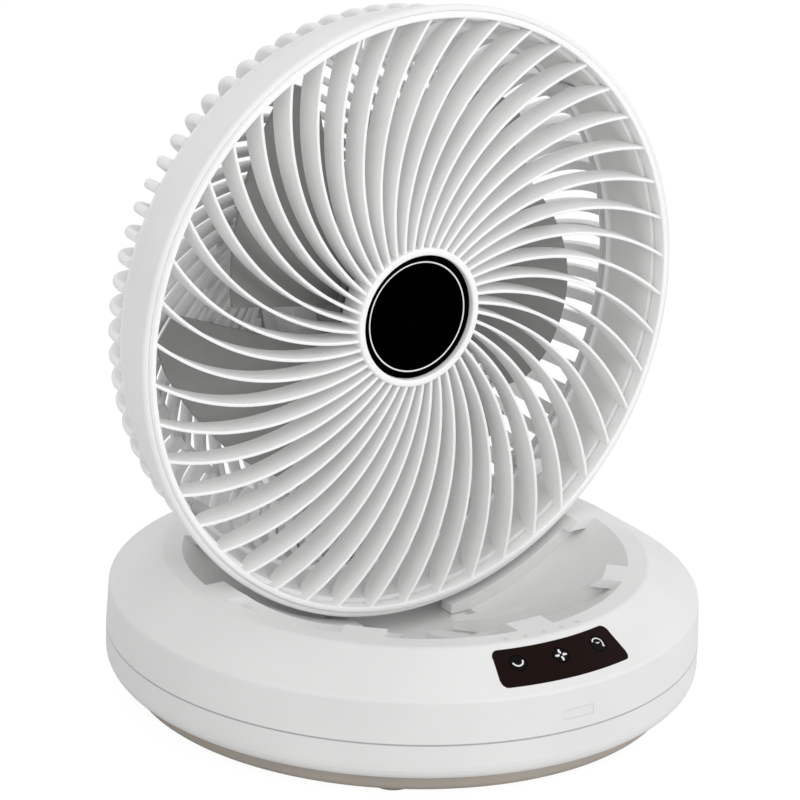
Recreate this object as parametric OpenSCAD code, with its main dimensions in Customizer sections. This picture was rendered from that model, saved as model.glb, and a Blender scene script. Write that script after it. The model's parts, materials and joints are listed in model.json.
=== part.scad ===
// Folding table fan: a round base that turns on its foot, a two-pivot swing arm and a fan head.
// Millimetres, +Z up, the front of the fan faces -Y. The origin is the centre of the footprint.

/* [Base shells] */
// Width of the flat ledge round the bowl
ledge_w = 7.57; // [6.07:0.1:9.07]
// Width of the sloping top round the ledge
slope_w = 19.3; // [18.8:0.1:21.8]
// Height of the seam between the two shells
seam_z = 22.7; // [21:0.1:25]
// Height of the crease where the side wall meets the sloping top
crease_z = 38.7; // [37:0.1:41]
// How far the side wall leans in between the seam and the crease
side_lean = 0.7; // [0.3:0.1:1.5]
// Height of the flat ledge
ledge_z = 51.2; // [50:0.1:53]
// Wall of the two base shells
shell_wall = 2.6; // [2.2:0.1:3]
// Height of the lower shell's underside
shell_bottom_z = 8.2; // [8:0.1:9.5]
// Rise of the lower shell's floor over its rim, which makes room for the turning gear
floor_rise = 3.7; // [3.5:0.1:4.2]
// Thickness of the lower shell's floor
floor_t = 2.2; // [1.8:0.1:2.4]
// Radius of the round under the lower shell's edge
shell_round_r = 6; // [4:0.5:8]

/* [Bowl] */
// Height of the bowl's underside over the lower shell's floor
bowl_gap = 3.1; // [2.8:0.1:4]
// Gap between the head's sweep and the nest ribs
nest_clear = 2.8; // [1.5:0.1:3.5]
// Height of the nest ribs over the bowl
nest_rib_h = 5.1; // [3:0.1:5.5]
// Number of nest tabs round the bowl
nest_count = 8; // [4:4:8]
// Width of a nest tab at the ledge
nest_tab_w = 15; // [10:0.5:18]
// Height of a nest tab
nest_tab_h = 3.4; // [2:0.2:5]
// Width of the rib under a tab
nest_rib_w = 6.5; // [4:0.5:9]
// Radius at which the ribs end near the middle of the bowl
nest_rib_in_r = 20; // [16:1:30]
// Thickness of the bowl's skin
bowl_skin = 2.4; // [2:0.1:2.6]

/* [Foot] */
// How far the foot disc stands in from the base's edge
foot_inset = 8.6; // [8:0.1:10]
// Height of the foot disc's top
foot_top_z = 7.2; // [6.8:0.1:7.4]
// Height of the foot disc's underside over the table
foot_clear = 1; // [0.8:0.1:1.3]
// Thickness of the foot disc's web
foot_web = 2.6; // [2:0.1:3]
// Radius of a foot pad
pad_r = 7; // [5:0.5:8]
// Thickness of a foot pad
pad_h = 1.6; // [1.4:0.1:2]
// Number of foot pads
pad_count = 5; // [3:1:8]
// Radius of the swivel post
post_r = 7.92; // [6:0.02:9]
// Radius of the washer on the swivel post
post_washer_r = 14; // [12:0.5:16]
// Thickness of that washer
post_washer_t = 1.3; // [1:0.1:1.4]

/* [Turning gear] */
// Gear module of the turning gear
gear_module = 1.5; // [1.4:0.02:1.5]
// Teeth of the full circle that the gear sector is cut from
ring_teeth = 100; // [94:2:100]
// Teeth of the drive pinion
pinion_teeth = 12; // [10:2:14]
// Teeth on the gear sector
sector_teeth = 32; // [28:2:36]
// Height of the gear teeth along the axis
gear_h = 3.6; // [3:0.1:3.8]
// Radius of the turning motor
turn_motor_r = 11.5; // [9:0.5:12]
// Height of the turning motor
turn_motor_h = 12; // [9:0.5:13]

/* [Control panel] */
// Distance of the control panel from the ledge
panel_in_gap = 2.3; // [1.5:0.1:3]
// Distance of the control panel from the crease
panel_out_gap = 3.7; // [2.5:0.1:4.5]
// Half angle of the control panel
panel_half_deg = 15.4; // [14.5:0.1:17]
// Corner radius of the control panel
panel_corner_r = 2.6; // [1.5:0.1:3]
// Thickness of the control panel
panel_t = 1.4; // [1:0.1:1.5]
// Distance of the buttons from the ledge's edge
button_inset = 7.6; // [7:0.1:8.5]
// Angle between two buttons
button_pitch_deg = 10.3; // [9:0.1:11]
// Radius of a button
button_r = 3.1; // [2.5:0.1:3.5]
// Travel of a button
button_travel = 0.6; // [0.4:0.1:0.6]
// Depth of the control board under the panel
board_depth = 9.3; // [9:0.1:9.8]
// Distance of the indicator lights from the ledge's edge
light_inset = 3; // [2:0.1:4]
// Angle between two indicator lights
light_pitch_deg = 5.2; // [4:0.1:5.5]
// Radius of an indicator light
light_r = 0.8; // [0.6:0.1:1]

/* [Head] */
// Largest radius of the outer band
band_front_r = 115.4; // [110:0.1:125]
// How much smaller the band's radius is at its rear edge
band_taper = 7; // [4:0.1:9]
// Depth of the outer band's rear edge behind the fan's centre plane
band_depth = 24.9; // [23:0.1:26]
// Wall of the outer band
band_wall = 2.8; // [2.4:0.1:3.2]
// Depth of the rear guard's flat back
guard_depth = 48.5; // [47:0.1:54]
// How far the guard's ribs stand out beyond the band's rear edge
guard_proud = 0.6; // [0:0.1:2]
// Width of the ring between the shoulder and the guard's flat back
guard_ring_w = 9; // [5:0.5:12]
// Depth of a shoulder rib across the shoulder
guard_rib_d = 5.5; // [4:0.1:6.5]
// Number of ribs round the rear guard
guard_ribs = 72; // [48:4:72]
// Thickness of a shoulder rib
guard_rib_t = 4; // [2.6:0.1:4.2]
// Number of spiral ribs in the guard's flat back
spiral_ribs = 36; // [24:2:40]
// Thickness of a spiral rib
spiral_rib_t = 2.2; // [1.6:0.1:2.6]
// Thickness of the guard's flat back
guard_plate_t = 2.5; // [2:0.1:2.8]

/* [Front grille] */
// Number of swept vanes in the front grille
vane_count = 46; // [36:1:50]
// Thickness of a vane
vane_t = 1.5; // [1.2:0.1:1.8]
// Depth of a vane from its front edge to its back edge
vane_depth = 11; // [9:0.1:11.5]
// Distance from the fan axis to the centre of the arc that a vane follows
vane_arc_offset = 95.1; // [85:0.1:105]
// How far that arc passes beyond the fan axis
vane_arc_pass = 2; // [0.5:0.1:4]
// Turn of the whole vane pattern about the fan axis
vane_turn_deg = 59.7; // [0:0.1:67]
// Width of the grille's rim
grille_rim_w = 3.7; // [3:0.1:4.5]
// Gap between the grille's rim and the outer band
grille_gap = 0.3; // [0.2:0.05:0.6]
// Outer radius of the grille's hub
grille_hub_r = 26.2; // [24:0.1:29]
// Width of the hub's rim round the badge
hub_rim_w = 2.8; // [2:0.1:4]

/* [Fan wheel] */
// Gap between the wheel's tips and the guard's flange
wheel_tip_gap = 9.4; // [4:0.1:12]
// Gap between the grille's vanes and the wheel's hub
wheel_vane_gap = 4.6; // [3.6:0.1:6]
// Number of blades
blade_count = 5; // [3:1:6]
// Angle between a blade's front edge and its middle
blade_lead_deg = 33.5; // [24:0.5:35]
// Sweep of a blade's rear edge
blade_sweep_deg = 47; // [40:1:50]
// Pitch of a blade against the plane of the wheel
blade_pitch_deg = 15; // [12:1:18]
// Radius of the camber of a blade
blade_camber_r = 200; // [160:5:400]
// Thickness of a blade
blade_t = 1.6; // [1.2:0.1:2.2]
// Radius of the wheel's hub
wheel_hub_r = 24; // [20:0.5:26]
// Turn of the wheel about its axis at rest
wheel_turn_deg = 6; // [0:1:72]
// Radius of the motor shaft
shaft_r = 2.5; // [2:0.1:3]
// Radius of the motor housing
motor_r = 32.8; // [30:0.2:34]

/* [Swing arm] */
// Distance of the arm's lower pivot behind the base axis
pivot_back = 57; // [55:0.5:59]
// Height of the arm's lower pivot
pivot_z = 34; // [33.5:0.1:35]
// Distance of the head's pivot behind the guard's back
head_pivot_gap = 14.5; // [14.1:0.1:16]
// Gap between the guard's back and the ledge when the head lies folded
fold_gap = 0.3; // [0.3:0.1:4]
// Width of the arm
arm_w = 18; // [14:0.5:20]
// Thickness of the arm
arm_t = 10; // [8:0.2:10.4]
// Radius of the arm's knuckles
knuckle_r = 7; // [6:0.1:7.4]
// Radius of the hinge pins
pin_r = 2.5; // [2:0.1:3]
// Thickness of a hinge ear
ear_t = 3.4; // [2.5:0.1:4]
// Thickness of a friction washer
washer_t = 0.8; // [0.6:0.1:1.2]

/* [Fits] */
// Play of a pin or post that turns in its bore
run_fit = 0.08; // [0.04:0.01:0.1]
// Play between pieces of one assembly
seat_fit = 0.1; // [0.05:0.01:0.2]
// Gap between pieces that move past each other
move_gap = 0.3; // [0.3:0.05:0.5]

/* [Hidden] */
$fn = 120;
eps = 0.01;
far = 300;

floor_z = shell_bottom_z + floor_rise;
floor_top_z = floor_z + floor_t;

// The fan axis lies at the centre of the bowl, which rests on the stack of floor, gap and skin.
nest_r = band_front_r + nest_clear;
bowl_r = nest_r + nest_rib_h;
head_z = floor_top_z + bowl_gap + bowl_skin + bowl_r;
bowl_edge_r = sqrt(pow(bowl_r, 2) - pow(head_z - ledge_z, 2));

ledge_out_r = bowl_edge_r + ledge_w;
crease_r = ledge_out_r + slope_w;
base_r = crease_r + side_lean;
slope_deg = atan((ledge_z - crease_z) / slope_w);
slope_drop = 1 / cos(slope_deg);
lip_r = base_r - shell_wall - side_lean / 2 - seat_fit;
lip_h = 3;
foot_r = base_r - foot_inset;
panel_in_r = ledge_out_r + panel_in_gap;
panel_out_r = crease_r - panel_out_gap;
button_ring_r = ledge_out_r + button_inset;
light_ring_r = ledge_out_r - light_inset;

hinge_plate_t = 1.8;
washer_play = 0.05;
ear_in = arm_w / 2 + washer_t + 2 * washer_play;
ear_out = ear_in + ear_t;
pocket_floor_z = pivot_z - knuckle_r - hinge_plate_t - 0.7;
pocket_w = arm_w + 2 * (washer_t + ear_t) + 14;
pocket_front_y = pivot_back - 19;
pocket_rear_y = pivot_back + 17;

post_top_z = floor_top_z + run_fit;
ring_pitch_r = gear_module * ring_teeth / 2;
pinion_pitch_r = gear_module * pinion_teeth / 2;
pinion_offset = ring_pitch_r - pinion_pitch_r;
gear_backlash = 0.5;
gear_root = 1.25 * gear_module;
gear_tip = 0.8 * gear_module;
half_tooth = (gear_module * PI / 2 - gear_backlash) / 2;
sector_r = ring_pitch_r + gear_root + 3.4;
floor_rise_r = sector_r + 3.7;
swivel_in_r = floor_rise_r + shell_wall + 1.4;
swivel_out_r = swivel_in_r + 8;
drive_shaft_r = 1.5;
motor_nose_r = 3;

screw_r = 1.5;
screw_head_r = 2.8;
boss_r = 3.8;
screw_ring_r = base_r - 2 * shell_wall - 2 * boss_r - 0.2;
screw_az = [0, 76, 104, 180, 235, 305];

head_pivot_depth = guard_depth + head_pivot_gap;
folded_z = ledge_z + fold_gap + guard_depth;
// The head's pivot lies this far under the fan axis, so that the head ends centred over the base.
pivot_drop = (pow(head_pivot_depth - pivot_back, 2) + pow(head_z - pivot_z, 2) - pow(pivot_back, 2)
    - pow(folded_z - head_pivot_depth - pivot_z, 2)) / (2 * (pivot_back + head_z - pivot_z));
head_pivot_z = head_z - pivot_drop;
arm_len = norm([head_pivot_depth - pivot_back, head_pivot_z - pivot_z]);
arm_up_deg = atan2(head_pivot_z - pivot_z, head_pivot_depth - pivot_back);

band_lip_r = band_front_r - 2.1;
grille_rim_out_r = band_lip_r - grille_gap;
grille_rim_in_r = grille_rim_out_r - grille_rim_w;
grille_front = -3.6;
vane_front = -2.6;
vane_back = vane_front + vane_depth;
vane_arc_r = vane_arc_offset + vane_arc_pass;
badge_r = grille_hub_r - hub_rim_w;
band_rear_r = band_front_r - band_taper;
flange_in_r = band_rear_r - 10;
flange_t = 2.2;
head_screw_r = (flange_in_r + band_rear_r) / 2 - 0.4;
guard_flange_y = band_depth + 0.2;
guard_centre_y = guard_flange_y + flange_t;
guard_round_r = guard_depth - guard_centre_y;
guard_centre_r = band_rear_r + guard_proud - guard_round_r;
wheel_r = flange_in_r - wheel_tip_gap;
wheel_hub_h = 16;
wheel_front = vane_back + wheel_vane_gap;
motor_front = wheel_front + wheel_hub_h + 0.5;
motor_back = guard_depth + 3.5;
bearing_r = 5.5;
bearing_h = 4;
rotor_r = motor_r - 19.3;

battery_r = 9.1;
battery_len = 65;
battery_ring_r = base_r - 2 * shell_wall - 2 * battery_r - 0.6;
battery_az = [45, 135];

panel_surface = crease_z + (crease_r - button_ring_r) * tan(slope_deg);
port_z = 30;

// ---------- shared shapes ----------

// A quarter or other stretch of an arc, as points
function arc_points(centre, r, from_deg, to_deg, steps = 6) =
    [for (k = [0:steps]) let (a = from_deg + (to_deg - from_deg) * k / steps)
        centre + r * [cos(a), sin(a)]];

// Turns a piece that is drawn round +Z into the head, where +Z becomes the depth behind the face
module in_head() translate([0, 0, head_z]) rotate([-90, 0, 0]) children();

module ring(out_r, in_r, h) difference() {
    cylinder(r = out_r, h = h);
    translate([0, 0, -1]) cylinder(r = in_r, h = h + 2);
}

module around(angles) for (a = angles) rotate([0, 0, a]) children();

// Places a piece on the sloping top at an angle from the front, +Z out of the surface
module on_slope(turn_deg) rotate([0, 0, turn_deg]) translate([0, -button_ring_r, panel_surface])
    rotate([slope_deg, 0, 0]) children();

// A vertical prism over the panel's outline, grown by a gap on every side
module panel_prism(grow = 0) {
    c = panel_corner_r;
    in_r = panel_in_r - grow;
    out_r = panel_out_r + grow;
    mid_r = (in_r + out_r) / 2;
    grow_deg = grow / mid_r * 180 / PI;
    half = panel_half_deg + grow_deg;
    c_deg = c / mid_r * 180 / PI;
    linear_extrude(far) union() {
        intersection() {
            difference() { circle(out_r - c, $fn = 200); circle(in_r + c, $fn = 200); }
            wedge_2d(-90 - half, -90 + half);
        }
        intersection() {
            difference() { circle(out_r, $fn = 200); circle(in_r, $fn = 200); }
            wedge_2d(-90 - half + c_deg, -90 + half - c_deg);
        }
        for (side = [-1, 1], r = [in_r + c, out_r - c])
            rotate(-90 + side * (half - c_deg)) translate([r, 0]) circle(c, $fn = 48);
    }
}

module wedge_2d(from_deg, to_deg) polygon([[0, 0], far * [cos(from_deg), sin(from_deg)],
    far * [cos((from_deg + to_deg) / 2), sin((from_deg + to_deg) / 2)], far * [cos(to_deg), sin(to_deg)]]);

// The layer of the sloping top between two depths, measured square to the slope
module slope_layer(top, bottom) rotate_extrude($fn = 200) polygon([
    [ledge_out_r - 1, ledge_z + tan(slope_deg) - top * slope_drop],
    [crease_r + 1, crease_z - tan(slope_deg) - top * slope_drop],
    [crease_r + 1, crease_z - tan(slope_deg) - bottom * slope_drop],
    [ledge_out_r - 1, ledge_z + tan(slope_deg) - bottom * slope_drop]]);

module screw(shank_r, head_r, head_h, length) {
    cylinder(r = head_r, h = head_h);
    translate([0, 0, head_h - eps]) cylinder(r = shank_r, h = length + eps);
}

// ---------- foot ----------

module foot_disc() color("#B5ADA4") difference() {
    union() {
        rotate_extrude() polygon(concat(
            [[0, foot_clear]], arc_points([foot_r - 3, foot_clear + 3], 3, -90, 0),
            [[foot_r, foot_top_z], [0, foot_top_z]]));
        cylinder(r = post_r, h = post_top_z);
    }
    difference() {
        translate([0, 0, -1]) cylinder(r = foot_r - 2 * pad_r - 5, h = foot_top_z - foot_web + 1);
        cylinder(r = post_r + 4, h = foot_top_z);
        for (a = [0:45:315]) rotate([0, 0, a]) translate([0, -1.1, 0]) cube([foot_r, 2.2, foot_top_z]);
    }
    around([for (k = [0:pad_count - 1]) 90 + k * 360 / pad_count])
        translate([foot_r - pad_r - 3, 0, -1]) cylinder(r = pad_r + seat_fit, h = pad_h + 1);
    translate([0, 0, foot_clear + 2]) cylinder(r = 1.6, h = far);
}

module foot_pads() color("#5A5A5A") around([for (k = [0:pad_count - 1]) 90 + k * 360 / pad_count])
    translate([foot_r - pad_r - 3, 0, 0]) cylinder(r = pad_r, h = pad_h);

// A tooth, or the space between two teeth, as a trapezoid on a pitch circle
module tooth_2d(pitch_r, root, tip, half_root, half_tip) polygon([
    [pitch_r + root, -half_root], [pitch_r + tip, -half_tip],
    [pitch_r + tip, half_tip], [pitch_r + root, half_root]]);

module gear_sector() color("#E9E4D8") translate([0, 0, foot_top_z]) {
    half_deg = sector_teeth * 180 / ring_teeth;
    half_pitch = gear_module * PI / 2;
    difference() {
        ring(sector_r, ring_pitch_r - gear_tip, gear_h);
        translate([0, 0, -1]) linear_extrude(gear_h + 2) wedge_2d(half_deg - 180, 0);
        translate([0, 0, -1]) linear_extrude(gear_h + 2) wedge_2d(0, 180 - half_deg);
        around([for (k = [0:sector_teeth]) 180 + (k - sector_teeth / 2) * 360 / ring_teeth])
            translate([0, 0, -1]) linear_extrude(gear_h + 2)
                tooth_2d(ring_pitch_r, gear_root, -gear_tip - 1, half_pitch - half_tooth - 0.45, half_pitch - half_tooth + 0.75);
    }
}

module swivel_ring() color("#E9E4D8")
    translate([0, 0, foot_top_z]) ring(swivel_out_r, swivel_in_r, shell_bottom_z - foot_top_z - seat_fit);

module swivel_washer() color("silver")
    translate([0, 0, post_top_z]) ring(post_washer_r, 1.6, post_washer_t);

module swivel_screw() color("silver") translate([0, 0, post_top_z + post_washer_t + 1]) mirror([0, 0, 1])
    screw(screw_r, screw_head_r + 1, 1, 9);

// ---------- base shells ----------

module lower_shell() color("#F2F2F0") difference() {
    union() {
        rotate_extrude() polygon(concat(
            [[post_r + run_fit, floor_z], [floor_rise_r, floor_z], [floor_rise_r, shell_bottom_z]],
            arc_points([base_r - shell_round_r, shell_bottom_z + shell_round_r], shell_round_r, -90, 0),
            [[base_r, seam_z - 0.3], [base_r - 0.3, seam_z], [lip_r, seam_z],
             [lip_r, seam_z + lip_h], [base_r - 2 * shell_wall, seam_z + lip_h]],
            arc_points([base_r - 2 * shell_wall - 3, shell_bottom_z + floor_t + 3], 3, 0, -90, 3),
            [[floor_rise_r + shell_wall, shell_bottom_z + floor_t], [floor_rise_r + shell_wall, floor_top_z],
             [post_r + run_fit, floor_top_z]]));
        around(screw_az) translate([screw_ring_r, 0, shell_bottom_z + eps])
            cylinder(r = boss_r + 0.8, h = seam_z - shell_bottom_z - eps);
    }
    around(screw_az) translate([screw_ring_r, 0, 0]) {
        cylinder(r = screw_r + run_fit, h = far);
        cylinder(r = screw_head_r + seat_fit, h = shell_bottom_z + 4);
    }
    translate([-pinion_offset, 0, 0]) cylinder(r = motor_nose_r + seat_fit, h = far);
}

module outer_form() rotate_extrude($fn = 200) polygon(concat(
    [[0, seam_z], [base_r - 0.3, seam_z], [base_r, seam_z + 0.3]],
    arc_points([crease_r - 2, crease_z - 2 * tan((90 - slope_deg) / 2)], 2, 0, 90 - slope_deg, 4),
    [[ledge_out_r + 0.5, ledge_z - 0.5 * tan(slope_deg)], [ledge_out_r - 0.5, ledge_z], [0, ledge_z]]));

module inner_form() rotate_extrude() polygon([
    [0, seam_z - 1], [base_r - shell_wall, seam_z - 1], [crease_r - shell_wall, crease_z - shell_wall * 0.6],
    [ledge_out_r - shell_wall * 0.3, ledge_z - shell_wall], [0, ledge_z - shell_wall]]);

// The part of a ball round the fan axis that lies under a height
module bowl_cap(ball_r, top_z) intersection() {
    translate([0, 0, head_z]) sphere(r = ball_r, $fn = 200);
    translate([0, 0, top_z - far]) cylinder(r = far, h = far);
}

// The tabs and ribs round the bowl; at the rear the rib starts behind the hinge pocket, clear of the folded arm
module nest_blocks() for (k = [0:nest_count - 1]) {
    turn_deg = k * 360 / nest_count;
    rib_in_r = turn_deg == 90 ? pocket_rear_y - 1 : nest_rib_in_r;
    rotate([0, 0, turn_deg]) {
        translate([ledge_out_r / 2, -nest_tab_w / 2, ledge_z - nest_tab_h])
            cube([ledge_out_r / 2, nest_tab_w, nest_tab_h + eps]);
        translate([rib_in_r, -nest_rib_w / 2, 0]) cube([ledge_out_r - rib_in_r, nest_rib_w, ledge_z - nest_tab_h]);
    }
}

module hinge_pocket(grow, top_z) translate([-pocket_w / 2 - grow, pocket_front_y - grow, pocket_floor_z - grow])
    cube([pocket_w + 2 * grow, pocket_rear_y - pocket_front_y + 2 * grow, top_z - pocket_floor_z + grow]);

module upper_shell() color("#F4F4F2") difference() {
    union() {
        difference() { outer_form(); inner_form(); }
        bowl_cap(bowl_r + bowl_skin, ledge_z - 1);
        hinge_pocket(bowl_skin, ledge_z - 1);
        intersection() {
            outer_form();
            around(screw_az) translate([screw_ring_r, 0, seam_z]) cylinder(r = boss_r, h = far);
        }
        for (side = [-1, 1]) on_slope(0) translate([side * board_post_x, 0, -board_depth])
            cylinder(r = 2, h = board_depth - 1);
    }
    bowl_cap(nest_r, ledge_z + 1);
    difference() { bowl_cap(bowl_r, ledge_z + 1); nest_blocks(); }
    hinge_pocket(0, ledge_z - nest_tab_h);
    around(screw_az) translate([screw_ring_r, 0, seam_z - 1]) cylinder(r = screw_r + eps, h = 14);
    intersection() { panel_prism(seat_fit); slope_layer(-1, panel_t + seat_fit); }
    for (k = [-1:1]) on_slope(k * button_pitch_deg) translate([0, 0, -board_depth + 2])
        cylinder(r = button_r + move_gap, h = board_depth);
    around(light_angles()) translate([0, -light_ring_r, 0]) cylinder(r = light_r + seat_fit, h = far);
    window_block(seat_fit, 0);
    translate([0, 0, port_z]) port_outline(port_w / 2 + seat_fit, port_h / 2 + seat_fit);
    hinge_screw_places() translate([0, 0, -bowl_skin + 0.4]) cylinder(r = 1.2 + eps, h = 10);
}

module base_screws() color("silver") around(screw_az) translate([screw_ring_r, 0, shell_bottom_z + 1.8])
    screw(screw_r, screw_head_r, 2.2, 22);

// ---------- control panel ----------

module control_panel() color("#1E1614") difference() {
    intersection() { panel_prism(0); slope_layer(0, panel_t); }
    for (k = [-1:1]) on_slope(k * button_pitch_deg) translate([0, 0, -5])
        cylinder(r = button_r + move_gap, h = 10);
}

switch_h = 1.6;

// Depth of the flat board under the curved top at a button's angle, and the reach of that button's stem
function board_depth_at(turn_deg) = board_depth - button_ring_r * (1 - cos(turn_deg)) * sin(slope_deg);
function stem_depth_at(turn_deg) = board_depth_at(turn_deg) - switch_h - button_travel - 0.15;

module button(turn_deg) color("#241C1A") intersection() {
    on_slope(turn_deg) union() {
        translate([0, 0, -shell_wall - 0.6]) cylinder(r = button_r, h = shell_wall + 2);
        translate([0, 0, -shell_wall - 1.4]) cylinder(r = button_r + 1.3, h = 0.8 + eps);
        translate([0, 0, -stem_depth_at(turn_deg)]) cylinder(r = 1.3, h = stem_depth_at(turn_deg));
    }
    slope_layer(0, board_depth + 4);
}
module button_oscillate() button(-button_pitch_deg);
module button_speed() button(0);
module button_timer() button(button_pitch_deg);

board_post_x = 10.2;
board_w = 46;
board_l = 17;
module control_board() color("#2E6B43") on_slope(0) difference() {
    translate([-board_w / 2, -board_l / 2, -board_depth - 1.4]) cube([board_w, board_l, 1.4]);
    for (side = [-1, 1]) translate([side * board_post_x, 0, -board_depth - 2]) cylinder(r = 0.9, h = 3, $fn = 24);
}

module tact_switches() color("#3A3A3A") for (k = [-1:1])
    on_slope(0) translate([k * button_ring_r * sin(button_pitch_deg), 0, -board_depth]) {
        translate([-2.2, -2.2, 0]) cube([4.4, 4.4, 1.1]);
        cylinder(r = 1.4, h = switch_h, $fn = 32);
    }

function light_angles() = [for (k = [-2:2]) k * light_pitch_deg];
module indicator_lights() color("white") {
    around(light_angles()) translate([0, -light_ring_r, ledge_z - shell_wall - 1.6])
        cylinder(r = light_r, h = shell_wall + 1.6);
    intersection() {
        translate([0, 0, ledge_z - shell_wall - 1.6]) ring(light_ring_r + 1.2, light_ring_r - 1.2, 1.4);
        translate([0, 0, -1]) linear_extrude(far) wedge_2d(-90 - 2.4 * light_pitch_deg, -90 + 2.4 * light_pitch_deg);
    }
}

window_w = 12.6;
window_h = 3.4;
window_z = 29.1;
window_t = 1.6;
module window_block(grow, sink) intersection() {
    rotate_extrude() polygon([[base_r - sink, seam_z], [crease_r - sink, crease_z],
        [crease_r - window_t - grow, crease_z], [base_r - window_t - grow, seam_z]]);
    translate([-window_w / 2 - grow, -base_r - 2, window_z - window_h / 2 - grow])
        cube([window_w + 2 * grow, 20, window_h + 2 * grow]);
}
module receiver_window() color("#E4E4E2") window_block(0, 0.05);

// ---------- power ----------

port_w = 10.4;
port_h = 4.6;
port_l = 9;
module port_outline(half_w, half_h, length = far) translate([0, base_r - port_l, 0]) rotate([-90, 0, 0])
    linear_extrude(length) union() {
        square([2 * (half_w - half_h), 2 * half_h], center = true);
        for (side = [-1, 1]) translate([side * (half_w - half_h), 0]) circle(half_h, $fn = 48);
    }
module charge_port() color("#C8C8C8") translate([0, 0, port_z]) difference() {
    port_outline(port_w / 2, port_h / 2, port_l - 0.8);
    difference() {
        translate([0, 1.4, 0]) port_outline(port_w / 2 - 0.6, port_h / 2 - 0.6, port_l);
        translate([-3.3, base_r - port_l, -0.35]) cube([6.6, port_l - 2, 0.7]);
    }
}

module battery_place() around(battery_az) translate([battery_ring_r, 0, floor_top_z + 2 + battery_r]) children();
module battery_cells() color("#3E6FA3") battery_place() rotate([90, 0, 0])
    translate([0, 0, -battery_len / 2]) cylinder(r = battery_r, h = battery_len);
module battery_holders() color("#4A4A4A") battery_place() difference() {
    translate([-battery_r, -battery_len / 2 - 2, -battery_r - 2])
        cube([2 * battery_r, battery_len + 4, battery_r + 2]);
    rotate([90, 0, 0]) translate([0, 0, -battery_len / 2 - seat_fit])
        cylinder(r = battery_r + seat_fit, h = battery_len + 2 * seat_fit);
}

// ---------- turning drive ----------

module turning_motor() color("#B9B9B9") translate([-pinion_offset, 0, floor_top_z]) difference() {
    union() {
        cylinder(r = turn_motor_r, h = turn_motor_h);
        translate([0, 0, -floor_t - 0.2]) cylinder(r = motor_nose_r, h = floor_t + 0.2 + eps);
    }
    translate([0, 0, -floor_t - 1]) cylinder(r = drive_shaft_r + run_fit, h = floor_t + 7, $fn = 48);
}
module drive_pinion() color("#E9E4D8") translate([-pinion_offset, 0, foot_top_z + move_gap]) {
    linear_extrude(gear_h) union() {
        circle(pinion_pitch_r - gear_root);
        for (k = [0:pinion_teeth - 1]) rotate(k * 360 / pinion_teeth)
            tooth_2d(pinion_pitch_r, -gear_root - 0.4, gear_tip, half_tooth + 0.6, half_tooth - 0.55);
    }
    cylinder(r = drive_shaft_r, h = floor_top_z + 5 - foot_top_z - move_gap, $fn = 48);
}

// ---------- hinges and swing arm ----------

module hinge_screw_places() for (x = [-1, 1], y = [-1, 1])
    translate([x * (ear_out + 3.4), pivot_back + y * 9, pocket_floor_z]) children();

module hinge_bracket() color("#9A9A9A") difference() {
    union() {
        translate([-ear_out - 6, pivot_back - 13, pocket_floor_z]) cube([2 * ear_out + 12, 26, hinge_plate_t]);
        for (side = [-1, 1]) translate([side * (ear_in + ear_t / 2), pivot_back, pivot_z]) rotate([0, 90, 0])
            translate([0, 0, -ear_t / 2]) linear_extrude(ear_t) union() {
                circle(knuckle_r, $fn = 64);
                translate([0, -knuckle_r]) square([pivot_z - pocket_floor_z, 2 * knuckle_r]);
            }
    }
    hinge_hole(pivot_back, pivot_z, pin_r + eps);
    hinge_screw_places() translate([0, 0, -1]) cylinder(r = 1.2 + run_fit, h = 5);
}

module hinge_hole(y, z, r) translate([-far / 2, y, z]) rotate([0, 90, 0]) cylinder(r = r, h = far, $fn = 64);

module hinge_screws() color("silver") hinge_screw_places()
    translate([0, 0, hinge_plate_t + 1.4]) mirror([0, 0, 1]) screw(1.2, 2.3, 1.4, hinge_plate_t + bowl_skin - 0.6);

module hinge_pin(y, z) translate([-ear_out - 1.2, y, z]) rotate([0, 90, 0]) {
    cylinder(r = pin_r, h = 2 * ear_out + 2.4, $fn = 64);
    cylinder(r = pin_r + 1.2, h = 1.2 - seat_fit, $fn = 64);
    translate([0, 0, 2 * ear_out + 1.2 + seat_fit]) cylinder(r = pin_r + 1.2, h = 1.2 - seat_fit, $fn = 64);
}
module base_hinge_pin() color("silver") hinge_pin(pivot_back, pivot_z);
module head_hinge_pin() color("silver") hinge_pin(head_pivot_depth, head_pivot_z);

module washer_pair(y, z) for (side = [-1, 1])
    translate([side * (arm_w / 2 + washer_play + washer_t / 2), y, z]) rotate([0, 90, 0])
        translate([0, 0, -washer_t / 2]) ring(knuckle_r - 0.6, pin_r + run_fit, washer_t);
module lower_friction_washers() color("#3A3A3A") washer_pair(pivot_back, pivot_z);
module upper_friction_washers() color("#3A3A3A") washer_pair(head_pivot_depth, head_pivot_z);

// The arm's own frame: +X along the arm from its lower pivot, +Y towards the front, +Z across the fan's width
module in_arm() translate([0, pivot_back, pivot_z]) rotate([arm_up_deg, 0, 0])
    rotate([90, 0, 90]) children();
cover_from = 14;
cover_t = 1.8;
cover_w = 13;

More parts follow.
